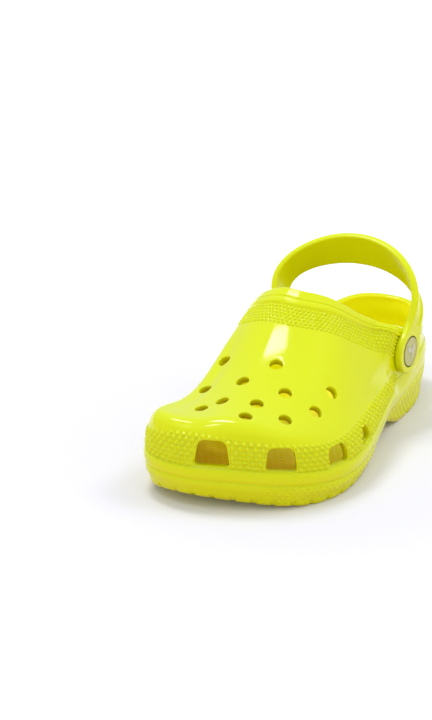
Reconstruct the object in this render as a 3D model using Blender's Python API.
"""Rubber garden clog (left foot): moulded foam body, pivoting heel strap and two snap rivets.

Metres, +Z up.  The clog stands on z = 0 with its toe towards -Y, its heel towards +Y and
its outer (lateral) side towards +X.  The origin is the bottom centre of the whole object.
Lengths are typed in millimetres and scaled by MM.
"""
import bpy
import bmesh
import math
import numpy as np

MM = 0.001
UP = np.array([0.0, 0.0, 1.0])

# ---- driving dimensions, mm ------------------------------------------------------------
GAP = 0.3                 # play between touching pieces
WALL = 4.5                # foam wall of the upper
RIM_CREST = 1.6           # height of the rolled collar rim above its two edges
TOE_SPRING = 9.5          # lift of the sole under the toe tip
HEEL_LIFT = 12.0          # lift of the sole at the back of the heel
ARCH_RISE = 8.0           # height of the hollow under the arch
ARCH_POWER = 1.3          # how flat the arch's hollow is at its ends
HALF_LENGTH = 140.0
HEEL_CONTACT = (58.0, 110.0)        # y range of the heel that stands on the ground
FOREFOOT_CONTACT = (-88.0, -3.0)    # y range of the forefoot that stands on the ground
FOOTBED_FOREFOOT = 18.0   # top of the footbed above the ground
FOOTBED_HEEL = 24.0
FOOTBED_RISE = (-10.0, 60.0)        # y range in which it rises from forefoot to heel
FOOTBED_TOE = (-90.0, -140.0)       # y range in which it rises again under the toes
FOOTBED_TOE_RISE = 4.0
FOOTBED_EDGE = 10.0       # footbed edge, in from the sole outline
CORNER_INSET, CORNER_RISE, CORNER_LIFT = 2.5, 2.0, 1.0     # rounding at the footbed's edge
SOLE_PARTS = ((0.28, 1.2), (0.6, 0.0), (0.92, 0.0))        # share of the height, inset
SOLE_FLARE = 0.6          # share of the tread inset that the sole's side curves through
WALL_LEVELS = (0.0, 0.35, 0.7, 1.0)     # rings from the ledge to the shoulder
VAMP_RINGS = 7            # rings from the shoulder to the collar
LEDGE_INSET = 1.5         # step between sole and upper

ORIGIN = (-5.7, 0.0, 0.0)           # moves the foot's own axis so that the box is centred on x = 0
PIVOT_Y, PIVOT_Z = 54.0, 53.5       # strap axis, parallel to X
FACE_LATERAL, FACE_MEDIAL = 47.6, -44.5    # flat outer faces of the wall under the strap pads
FLAT_RADIUS, BLEND_RADIUS = 20.0, 32.0     # the flat round each rivet, and where it has faded

HOLE_RADIUS = 4.3         # round holes in the vamp

# Shape stations round the clog, heel to toe along the lateral side and back along the medial
# side: name, sole outline (x, y), ledge height, inset of the sole's tread edge,
# shoulder (inset, height, slope in degrees), collar rim (x, y, z), direction of the surface
# just below the rim.
STATIONS = [
    ("heel back",           (1, 140), 40.5, 5, (1.5, 49, 88), (1, 138, 57), (0, .12, -1)),
    ("heel corner lateral", (27, 128), 40.5, 5, (1.5, 49, 88), (24, 128, 55), (.1, .1, -1)),
    ("heel lateral",        (42, 98), 40.0, 4, (1.5, 46, 88), (38, 98, 50.5), (.12, 0, -1)),
    ("rivet lateral",       (48, 58), 36.0, 5.5, (1.5, 52, 88), (43.5, 56, 66.5), (.08, -.05, -1)),
    ("waist lateral",       (56, 15), 30.5, 11, (6, 50, 68), (34, 30, 80), (.35, -.3, -1)),
    ("ball lateral",        (66.5, -31), 25.5, 8, (10, 47, 52), (25, 13, 92.5), (.62, -.75, -1)),
    ("forefoot lateral",    (68, -76), 22.5, 4.5, (12, 46, 38), (17, 2, 101), (.55, -1, -.95)),
    ("little toe",          (48, -113), 26.0, 4.8, (11.4, 52, 17), (8, -4.5, 104.5), (.28, -1.1, -.93)),
    ("toe lateral",         (16, -132), 29.0, 7, (14, 59, 4), (0, -7.5, 106), (.06, -1.15, -.93)),
    ("toe tip",             (-13, -140), 29.0, 6.5, (15, 56, 0), (-8, -7.5, 106.5), (-.12, -1.15, -.93)),
    ("big toe",             (-45, -131), 29.0, 6, (11, 55.7, -12.4), (-16, -6.5, 105), (-.35, -1.1, -.95)),
    ("big toe side",        (-58, -98), 28.5, 6, (12.4, 51.8, 5.5), (-26, -3, 100.5), (-.6, -.95, -1)),
    ("ball medial",         (-53, -58), 28.0, 8, (5.6, 46, 59.5), (-36, 5, 93), (-.55, -.6, -1)),
    ("arch medial",         (-45, -12), 31.0, 12, (5, 51, 66), (-40.5, 18, 83.5), (-.3, -.25, -1)),
    ("rivet medial",        (-44.5, 40), 36.0, 7, (1.5, 53, 87), (-43, 43, 69), (-.08, -.05, -1)),
    ("heel medial",         (-41, 92), 40.5, 5, (1, 47, 88), (-39.5, 89, 54), (-.12, 0, -1)),
    ("heel corner medial",  (-27, 126), 40.5, 5, (1.2, 49, 88), (-25, 124, 57.5), (-.1, .1, -1)),
]
WALL_HANDLE = 0.4         # Bezier handles, as parts of the chord they belong to
SHOULDER_HANDLE = 0.34
COLLAR_HANDLE = 0.38
TURN = 0.6                # how far the shoulder's slope turns from square to towards the collar


# ---- the clog's surface ------------------------------------------------------------------
def closed_spline(values):
    """A smooth closed curve through values at t = 0, 1, 2 ..., and its slope."""
    v = np.asarray(values, float).reshape(len(values), -1)
    n = len(v)
    system = 4 * np.eye(n) + np.roll(np.eye(n), 1, 0) + np.roll(np.eye(n), -1, 0)
    slope = np.linalg.solve(system, 3 * (np.roll(v, -1, 0) - np.roll(v, 1, 0)))

    def curve(t, order=0):
        t = np.atleast_1d(np.asarray(t, float)) % n
        i = np.floor(t).astype(int) % n
        u = (t - np.floor(t))[:, None]
        j = (i + 1) % n
        if order == 1:
            out = (v[i] * (6 * u * u - 6 * u) + slope[i] * (3 * u * u - 4 * u + 1)
                   + v[j] * (6 * u - 6 * u * u) + slope[j] * (3 * u * u - 2 * u))
        else:
            out = (v[i] * (2 * u**3 - 3 * u * u + 1) + slope[i] * (u**3 - 2 * u * u + u)
                   + v[j] * (3 * u * u - 2 * u**3) + slope[j] * (u**3 - u * u))
        return out if v.shape[1] > 1 else out[:, 0]
    return curve


outline = closed_spline([s[1] for s in STATIONS])
ledge_height = closed_spline([s[2] for s in STATIONS])
tread_inset = closed_spline([s[3] for s in STATIONS])
shoulder = closed_spline([s[4] for s in STATIONS])
collar = closed_spline([s[5] for s in STATIONS])
collar_slope = closed_spline([s[6] for s in STATIONS])


def unit(a):
    return a / np.linalg.norm(a, axis=-1, keepdims=True)


def smooth(a):
    a = np.clip(a, 0.0, 1.0)
    return a * a * (3 - 2 * a)


def outward(t):
    """Plan normal of the sole outline, pointing away from the foot."""
    d = outline(t, 1)
    return unit(np.stack([-d[:, 1], d[:, 0]], -1))


def inset(t, distance, z):
    """Points distance mm inside the sole outline at height z."""
    p = outline(t) - outward(t) * np.reshape(distance, (-1, 1))
    return np.column_stack([p, np.broadcast_to(z, len(p))])


def ground(x, y):
    """Height of the sole's underside: toe spring, forefoot, arch, heel, heel bevel."""
    toe = np.clip((FOREFOOT_CONTACT[0] - y) / (FOREFOOT_CONTACT[0] + HALF_LENGTH), 0, 1) ** 2
    back = np.clip((y - HEEL_CONTACT[1]) / (HALF_LENGTH - HEEL_CONTACT[1]), 0, 1) ** 2
    arch = np.clip((HEEL_CONTACT[0] - y) / (HEEL_CONTACT[0] - FOREFOOT_CONTACT[1]), 0, 1)
    return TOE_SPRING * toe + HEEL_LIFT * back + ARCH_RISE * np.sin(np.pi * arch) ** ARCH_POWER


def footbed(x, y):
    """Height of the footbed: lower under the forefoot, a little up again at the toes."""
    heel = smooth((y - FOOTBED_RISE[0]) / (FOOTBED_RISE[1] - FOOTBED_RISE[0]))
    toe = smooth((FOOTBED_TOE[0] - y) / (FOOTBED_TOE[0] - FOOTBED_TOE[1]))
    return FOOTBED_FOREFOOT + (FOOTBED_HEEL - FOOTBED_FOREFOOT) * heel + FOOTBED_TOE_RISE * toe


def bezier(a, b, c, d, v):
    return (1 - v)**3 * a + 3 * (1 - v)**2 * v * b + 3 * (1 - v) * v * v * c + v**3 * d


def flatten_at_rivets(p):
    """Move the wall onto one flat face round each rivet, square to the strap's axis."""
    p = p.copy()
    r = np.hypot(p[..., 1] - PIVOT_Y, p[..., 2] - PIVOT_Z)
    w = 1 - smooth((r - FLAT_RADIUS) / (BLEND_RADIUS - FLAT_RADIUS))
    face = np.where(p[..., 0] > 0, FACE_LATERAL, FACE_MEDIAL)
    p[..., 0] += (face - p[..., 0]) * w
    return p


def upper(t, v):
    """Outer face of the upper: v 0 at the ledge, 1 at the shoulder, 2 at the collar rim."""
    n = np.column_stack([outward(t), np.zeros(len(t))])
    sh = shoulder(t)
    tilt = np.radians(sh[:, 2:3])
    low = inset(t, LEDGE_INSET, ledge_height(t))
    mid = inset(t, LEDGE_INSET + sh[:, 0], sh[:, 1])
    top = collar(t)
    inward = unit(unit((top - mid) * [1, 1, 0]) * TURN - n * (1 - TURN))
    lean = inward * np.cos(tilt) + UP * np.sin(tilt)
    wall = np.linalg.norm(mid - low, axis=1, keepdims=True)
    vamp = np.linalg.norm(top - mid, axis=1, keepdims=True)
    v = np.broadcast_to(np.reshape(v, (-1, 1)), (len(t), 1))
    first = bezier(low, low + UP * wall * WALL_HANDLE, mid - lean * wall * WALL_HANDLE, mid,
                   np.clip(v, 0, 1))
    second = bezier(mid, mid + lean * vamp * SHOULDER_HANDLE,
                    top + unit(collar_slope(t)) * vamp * COLLAR_HANDLE, top,
                    np.clip(v - 1, 0, 1))
    return flatten_at_rivets(np.where(v < 1, first, second))


def upper_normal(t, v):
    h = 0.01
    v = np.broadcast_to(v, (len(t),)).astype(float)
    along = upper(t + h, v) - upper(t - h, v)
    rise = upper(t, np.minimum(v + h, 2)) - upper(t, np.maximum(v - h, 0))
    return unit(np.cross(along, rise)) * -1.0


# ---- where the holes are -------------------------------------------------------------------
VAMP_HOLES = [            # centres in plan, x, y: five rows, heel side first
    (9, -57), (-32, -51), (46, -50),
    (25, -75), (-43, -71), (-5, -77), (46, -73),
    (15, -95), (-31, -79), (36, -96), (-8, -99),
    (16, -112), (-18, -108),
]
TOE_VENTS = [             # windows in the toe band: station, sill above the ledge, width of the
    (5.2, 0.3, 16.5, 11.5, 9.8),      # sill, width at the top, height
    (6.06, 0.9, 18.8, 15.0, 11.8),
    (7.12, 0.5, 20.2, 15.6, 15.0),
    (8.40, 1.0, 22.4, 16.6, 16.4),
    (10.95, 1.6, 19.5, 12.6, 12.5),
    (12.0, 1.0, 18.0, 12.0, 11.0),
]
VENT_CORNER = 5.0         # radius of a window's upper corners
VENT_CORNER_STEP, VENT_CORNER_LEAN = 0.36, 0.74     # where the round corner starts and ends
VENT_DEPTH, VENT_START = 8.0, 3.0       # half depth of the cutter, and its middle's inset
STATION_STEP = 0.05       # for the ledge's slope at a window

# ---- the strap and its rivets, mm ----------------------------------------------------------
STRAP_THICKNESS = 5.0
STRAP_WIDTH = 17.5        # along the arms
STRAP_WIDTH_BACK = 23.0   # at the back of the loop
STRAP_REACH = 61.0        # from the axis to the middle of the band at the back
STRAP_SQUARENESS = 2.05   # superellipse exponent of the loop
STRAP_STRAIGHT = 22.0     # straight part of each arm
STRAP_BOW_LATERAL = 1.0   # how far each arm bows outwards
STRAP_BOW_MEDIAL = 7.0
STRAP_LEAN = 46.0         # how far the band at the back leans out at its upper edge, degrees
STRAP_NECK = 9.0          # where the round pad turns into the neck
STRAP_FADE = 14.0         # length of the neck
STRAP_EDGE = 1.2          # chamfer along the band
STRAP_REST_ANGLE = 62.0   # the arms' rise from horizontal, degrees
PAD_RADIUS = 15.2
RIVET_RADIUS = 9.7
RIVET_HEAD = 2.9          # thickness of the outer head
RIVET_RECESS = 2.6        # depth of the head's seat in the pad
STEM_RADIUS = 3.0
SLEEVE_RADIUS, SLEEVE_BORE = 4.8, 3.4
BORE_RADIUS = 5.2         # hole through the strap pad and the wall
CAP_RADIUS, CAP_THICKNESS = 9.5, 2.4

# ---- mesh density ---------------------------------------------------------------------------
LATERAL_STEPS = [3, 3, 6, 6, 4, 4, 4, 4, 3]      # columns between stations, heel to toe
MEDIAL_STEPS = [4, 4, 4, 4, 7, 7, 4, 3]          # toe back to heel
CROSS_STEPS = 6
STRAP_SECTIONS = 44


def columns():
    """Station parameters of the mesh columns: lateral side out, medial side back."""
    t = []
    for i, n in enumerate(LATERAL_STEPS + MEDIAL_STEPS):
        t += [i + k / n for k in range(n)]
    return np.array(t)


def new_object(name, verts, faces, material=None, location=(0, 0, 0)):
    mesh = bpy.data.meshes.new(name)
    mesh.from_pydata([tuple(float(c) * MM for c in v) for v in verts], [], faces)
    obj = bpy.data.objects.new(name, mesh)
    obj.location = [(c + shift) * MM for c, shift in zip(location, ORIGIN)]
    bpy.context.scene.collection.objects.link(obj)
    bm = bmesh.new()
    bm.from_mesh(mesh)
    bmesh.ops.remove_doubles(bm, verts=bm.verts, dist=1e-6)
    bmesh.ops.recalc_face_normals(bm, faces=bm.faces)
    bm.to_mesh(mesh)
    bm.free()
    if material:
        mesh.materials.append(material)
    mesh.shade_smooth()
    mesh.set_sharp_from_angle(angle=math.radians(35))
    return obj


def foam(name, color, roughness):
    m = bpy.data.materials.new(name)
    m.use_nodes = True
    bsdf = m.node_tree.nodes["Principled BSDF"]
    bsdf.inputs["Base Color"].default_value = (*color, 1)
    bsdf.inputs["Roughness"].default_value = roughness
    bsdf.inputs["Metallic"].default_value = 0.0
    return m


def cut(obj, cutter):
    """Subtract a hidden, wire-drawn cutter from obj with a Boolean modifier."""
    cutter.hide_render = True
    cutter.display_type = "WIRE"
    mod = obj.modifiers.new(cutter.name, "BOOLEAN")
    mod.operation = "DIFFERENCE"
    mod.solver = "EXACT"
    mod.object = cutter


def prism(name, profile, frame, depth):
    """A cutter: a closed profile (u, v) swept from -depth to depth along frame's third axis."""
    at, u, v, w = (np.array(a, float) for a in frame)
    n = len(profile)
    near = [at + p[0] * u + p[1] * v - depth * w for p in profile]
    far = [at + p[0] * u + p[1] * v + depth * w for p in profile]
    faces = [list(range(n))[::-1], list(range(n, 2 * n))]
    faces += [[i, (i + 1) % n, n + (i + 1) % n, n + i] for i in range(n)]
    return new_object(name, near + far, faces)


def circle(radius, steps):
    a = np.arange(steps) * 2 * np.pi / steps
    return np.column_stack([radius * np.cos(a), radius * np.sin(a)])


def surface_at(x, y):
    """Point and normal of the upper above a plan position, found by stepping on the surface."""
    t, v = np.meshgrid(np.arange(0, len(STATIONS), 0.05), np.arange(0.6, 1.95, 0.05))
    t, v = t.ravel(), v.ravel()
    p = upper(t, v)
    k = np.argmin((p[:, 0] - x) ** 2 + (p[:, 1] - y) ** 2)
    t, v = t[k:k + 1], v[k:k + 1]
    for _ in range(8):
        p, h = upper(t, v)[0], 0.01
        dt = (upper(t + h, v)[0] - p)[:2] / h
        dv = (upper(t, v + h)[0] - p)[:2] / h
        step = np.linalg.solve(np.column_stack([dt, dv]), np.array([x, y]) - p[:2])
        t, v = t + step[0], v + step[1]
    return upper(t, v)[0], upper_normal(t, v)[0]


def axes_round(normal):
    """Two unit vectors square to a normal and to each other."""
    u = unit(np.cross([0.0, 1.0, 0.0], normal))
    return u, np.cross(normal, u)


# ---- body -----------------------------------------------------------------------------------
def sole_rings(t):
    """Outer rings from the tread's edge up to just under the ledge."""
    low = outline(t) - outward(t) * tread_inset(t)[:, None]
    base = ground(low[:, 0], low[:, 1])
    high = ledge_height(t)
    rings = [np.column_stack([low, base])]
    for part, distance in SOLE_PARTS:
        extra = tread_inset(t) * (1 - part) ** 2 * SOLE_FLARE
        rings.append(inset(t, distance + extra, base + part * (high - base)))
    return [flatten_at_rivets(r) for r in rings]


def upper_rings(t):
    levels = list(WALL_LEVELS) + [1 + (k + 1) / VAMP_RINGS for k in range(VAMP_RINGS)]
    outer = [upper(t, v) for v in levels]
    inner = [upper(t, v) - upper_normal(t, np.full(len(t), v)) * WALL for v in levels]
    return outer, inner[::-1]


def rim_ring(outer, inner):
    """Crest of the rolled rim, between the last outer and the first inner ring."""
    up = unit(outer[-1] - outer[-2])
    return (outer[-1] + inner[0]) / 2 + up * RIM_CREST


def foot_rings(t):
    """Inner rings from the ledge level down to the edge of the footbed."""
    side = inset(t, LEDGE_INSET + WALL, ledge_height(t))
    edge = outline(t) - outward(t) * FOOTBED_EDGE
    floor = footbed(edge[:, 0], edge[:, 1])
    corner = inset(t, FOOTBED_EDGE - CORNER_INSET, floor + CORNER_RISE)
    return [(side + 2 * corner) / 3 + UP * CORNER_LIFT, corner, np.column_stack([edge, floor])]


def cross_grid(first, count, height, ring, verts, faces):
    """Close a ring with rows of quads from its lateral to its medial side."""
    half = sum(LATERAL_STEPS)
    rows = [[first + 0]]
    for j in range(1, half):
        a, b = ring[j], ring[count - j]
        row = [first + j]
        for k in range(1, CROSS_STEPS):
            x, y = (a + (b - a) * k / CROSS_STEPS)[:2]
            row.append(len(verts))
            verts.append((x, y, height(x, y)))
        rows.append(row + [first + count - j])
    rows.append([first + half])
    for r, s in zip(rows, rows[1:]):
        if len(r) == 1:
            faces += [[r[0], s[k], s[k + 1]] for k in range(CROSS_STEPS)]
        elif len(s) == 1:
            faces += [[r[k], s[0], r[k + 1]] for k in range(CROSS_STEPS)]
        else:
            faces += [[r[k], s[k], s[k + 1], r[k + 1]] for k in range(CROSS_STEPS)]


def make_body():
    t = columns()
    count = len(t)
    outer, inner = upper_rings(t)
    rings = sole_rings(t) + outer + [rim_ring(outer, inner)] + inner + foot_rings(t)
    verts = [tuple(p) for ring in rings for p in ring]
    faces = []
    for r in range(len(rings) - 1):
        for j in range(count):
            k = (j + 1) % count
            faces.append([r * count + j, r * count + k, (r + 1) * count + k, (r + 1) * count + j])
    cross_grid(0, count, ground, rings[0], verts, faces)
    cross_grid((len(rings) - 1) * count, count, footbed, rings[-1], verts, faces)
    body = new_object("clog_body", verts, faces, foam("yellow foam", (0.76, 0.79, 0.0), 0.28))
    for i, (x, y) in enumerate(VAMP_HOLES):
        at, normal = surface_at(x, y)
        frame = (at, *axes_round(normal), normal)
        cut(body, prism(f"cut_vamp_{i}", circle(HOLE_RADIUS, 14), frame, 9.0))
    for i, vent in enumerate(TOE_VENTS):
        cut(body, vent_cutter(f"cut_vent_{i}", *vent))
    for side, face in (("lateral", FACE_LATERAL), ("medial", FACE_MEDIAL)):
        frame = ((face, PIVOT_Y, PIVOT_Z), (0, 1, 0), (0, 0, 1), (1, 0, 0))
        cut(body, prism("cut_bore_" + side, circle(BORE_RADIUS, 20), frame, 9.0))
    return body


def vent_profile(width, top, height):
    """A window: square lower corners, sides leaning in, round upper corners."""
    low, high, corner = width / 2, top / 2, VENT_CORNER
    right = [(low, 0.0), (high + VENT_CORNER_STEP * corner, height - corner)]
    for a in (60, 90):
        a = math.radians(a)
        right.append((high + corner * (math.cos(a) - VENT_CORNER_LEAN),
                      height + corner * (math.sin(a) - 1)))
    return right + [(-x, z) for x, z in reversed(right)]


def vent_frame(station, sill):
    """Middle of a window's sill, its direction along the ledge, up, and out of the toe."""
    t = np.array([station])
    n = outward(t)[0]
    before, after = t - STATION_STEP, t + STATION_STEP
    slope = (ledge_height(before) - ledge_height(after))[0]
    slope /= np.linalg.norm(outline(after) - outline(before))
    p = outline(t)[0] - n * VENT_START
    side = unit(np.array([-n[1], n[0], slope]))
    return (p[0], p[1], ledge_height(t)[0] + sill), side, (0, 0, 1), (n[0], n[1], 0.0)


def vent_cutter(name, station, sill, width, top, height):
    return prism(name, vent_profile(width, top, height), vent_frame(station, sill), VENT_DEPTH)


# ---- strap ----------------------------------------------------------------------------------
def strap_path():
    """Middle of the band's inner face as x and reach u, from the lateral to the medial pad."""
    wide = (FACE_LATERAL - FACE_MEDIAL) / 2 + GAP
    middle = (FACE_LATERAL + FACE_MEDIAL) / 2
    pad = -PAD_RADIUS * np.cos(np.linspace(0.12, math.acos(-STRAP_NECK / PAD_RADIUS), 9))
    arm = np.linspace(STRAP_NECK, STRAP_STRAIGHT, 5)[1:]
    a = np.linspace(0, np.pi, STRAP_SECTIONS)[1:-1]
    power = 2 / STRAP_SQUARENESS
    x = np.sign(np.cos(a)) * np.abs(np.cos(a)) ** power
    u = STRAP_STRAIGHT + (STRAP_REACH - STRAP_STRAIGHT) * np.sin(a) ** power
    side = np.ones(len(pad) + len(arm))
    x = np.concatenate([side, x, -side])
    u = np.concatenate([pad, arm, u, arm[::-1], pad[::-1]])
    bow = np.where(x > 0, STRAP_BOW_LATERAL, STRAP_BOW_MEDIAL)
    reach = np.clip((u - STRAP_FADE) / (STRAP_REACH - STRAP_FADE), 0, 1)
    return middle + (wide + bow * np.sin(0.9 * np.pi * reach)) * x, u


def strap_half_width(u):
    """Round pad, a neck, then a band that widens towards the back."""
    pad = np.sqrt(np.maximum(PAD_RADIUS ** 2 - u ** 2, 0))
    at_neck = math.sqrt(PAD_RADIUS ** 2 - STRAP_NECK ** 2)
    arm = STRAP_WIDTH / 2 + (STRAP_WIDTH_BACK - STRAP_WIDTH) / 2 * np.clip(u / STRAP_REACH, 0, 1) ** 2
    fade = np.clip(1 - (u - STRAP_NECK) / STRAP_FADE, 0, 1) ** 2
    return np.where(u < STRAP_NECK, pad, arm + (at_neck - arm) * fade)


def strap_frames():
    """Points along the band and its outward and sideways directions, leaning out at the back."""
    x, u = strap_path()
    along = unit(np.column_stack([np.gradient(x), np.gradient(u)]))
    out = np.column_stack([along[:, 1], -along[:, 0], np.zeros(len(x))])
    lean = np.radians(STRAP_LEAN) * np.clip((u - PAD_RADIUS) / (STRAP_REACH - PAD_RADIUS), 0, 1) ** 1.5
    c, s = np.cos(lean)[:, None], np.sin(lean)[:, None]
    return np.column_stack([x, u, 0 * u]), out * c - UP * s, UP * c + out * s, strap_half_width(u)


def make_strap():
    middle, out, side, half = strap_frames()
    edge = STRAP_EDGE
    section = [(0, -1, edge), (0, 1, edge), (edge, 1, 0), (STRAP_THICKNESS - edge, 1, 0),
               (STRAP_THICKNESS, 1, edge), (STRAP_THICKNESS, -1, edge),
               (STRAP_THICKNESS - edge, -1, 0), (edge, -1, 0)]
    swing = math.radians(STRAP_REST_ANGLE)
    c, s = math.cos(swing), math.sin(swing)
    verts, faces, n = [], [], len(section)
    for k in range(len(middle)):
        trim = min(1.0, 0.4 * half[k] / edge)
        for depth, sign, back in section:
            x, y, z = middle[k] + out[k] * depth + side[k] * sign * (half[k] - back * trim)
            verts.append((x, y * c - z * s, y * s + z * c))
    for k in range(len(middle) - 1):
        for i in range(n):
            j = (i + 1) % n
            faces.append([k * n + i, k * n + j, (k + 1) * n + j, (k + 1) * n + i])
    last = (len(middle) - 1) * n
    faces += [list(range(n)), list(range(last, last + n))]
    strap = new_object("heel_strap", verts, faces, foam("yellow strap foam", (0.78, 0.8, 0.0), 0.25),
                       (0, PIVOT_Y, PIVOT_Z))
    for side, face, out_x in (("lateral", FACE_LATERAL, 1), ("medial", FACE_MEDIAL, -1)):
        seat = face + out_x * (GAP + STRAP_THICKNESS - RIVET_RECESS + 4)
        for name, radius, at, depth in (("seat", RIVET_RADIUS + GAP, seat, 4),
                                        ("bore", BORE_RADIUS, face, 12)):
            frame = ((at, PIVOT_Y, PIVOT_Z), (0, 1, 0), (0, 0, 1), (1, 0, 0))
            cut(strap, prism(f"cut_{name}_{side}", circle(radius, 24), frame, depth))
    return strap


# ---- rivets ---------------------------------------------------------------------------------
def turned(name, profile, face, out_x, material):
    """A solid turned about the strap's axis: (distance out from the wall face, radius)."""
    steps = 24
    ring = circle(1.0, steps)
    verts, faces, rows = [], [], []
    for a, r in profile:
        x = face + out_x * a
        rows.append(len(verts))
        verts += [(x, 0, 0)] if r == 0 else [(x, r * c, r * s) for c, s in ring]
    for i in range(len(profile) - 1):
        p, q = rows[i], rows[i + 1]
        for k in range(steps):
            j = (k + 1) % steps
            if profile[i][1] == 0:
                faces.append([p, q + k, q + j])
            elif profile[i + 1][1] == 0:
                faces.append([p + k, q, p + j])
            else:
                faces.append([p + k, q + k, q + j, p + j])
    return new_object(name, verts, faces, material, (0, PIVOT_Y, PIVOT_Z))


def make_rivets():
    head_under = GAP + STRAP_THICKNESS - RIVET_RECESS + GAP
    head_top = head_under + RIVET_HEAD
    sleeve_end = head_under - 2 * GAP + 0.2
    inner = -WALL - GAP
    head = [(inner - 0.2, 0), (inner - 0.2, STEM_RADIUS), (head_under, STEM_RADIUS),
            (head_under, RIVET_RADIUS), (head_top - 0.6, RIVET_RADIUS),
            (head_top, RIVET_RADIUS - 0.6), (head_top, 0)]
    cap = [(inner - 0.6, 0), (inner - 0.6, SLEEVE_BORE), (sleeve_end, SLEEVE_BORE),
           (sleeve_end, SLEEVE_RADIUS), (inner, SLEEVE_RADIUS), (inner, CAP_RADIUS),
           (inner - CAP_THICKNESS + 0.6, CAP_RADIUS), (inner - CAP_THICKNESS, CAP_RADIUS - 0.7),
           (inner - CAP_THICKNESS, 0)]
    for side, face, out_x in (("lateral", FACE_LATERAL, 1), ("medial", FACE_MEDIAL, -1)):
        turned("rivet_head_" + side, head, face, out_x, foam("rivet head " + side, (0.6, 0.6, 0.28), 0.35))
        turned("rivet_cap_" + side, cap, face, out_x, foam("rivet cap " + side, (0.72, 0.72, 0.02), 0.35))


def main():
    for obj in list(bpy.data.objects):
        bpy.data.objects.remove(obj, do_unlink=True)
    make_body()
    make_strap()
    make_rivets()


main()
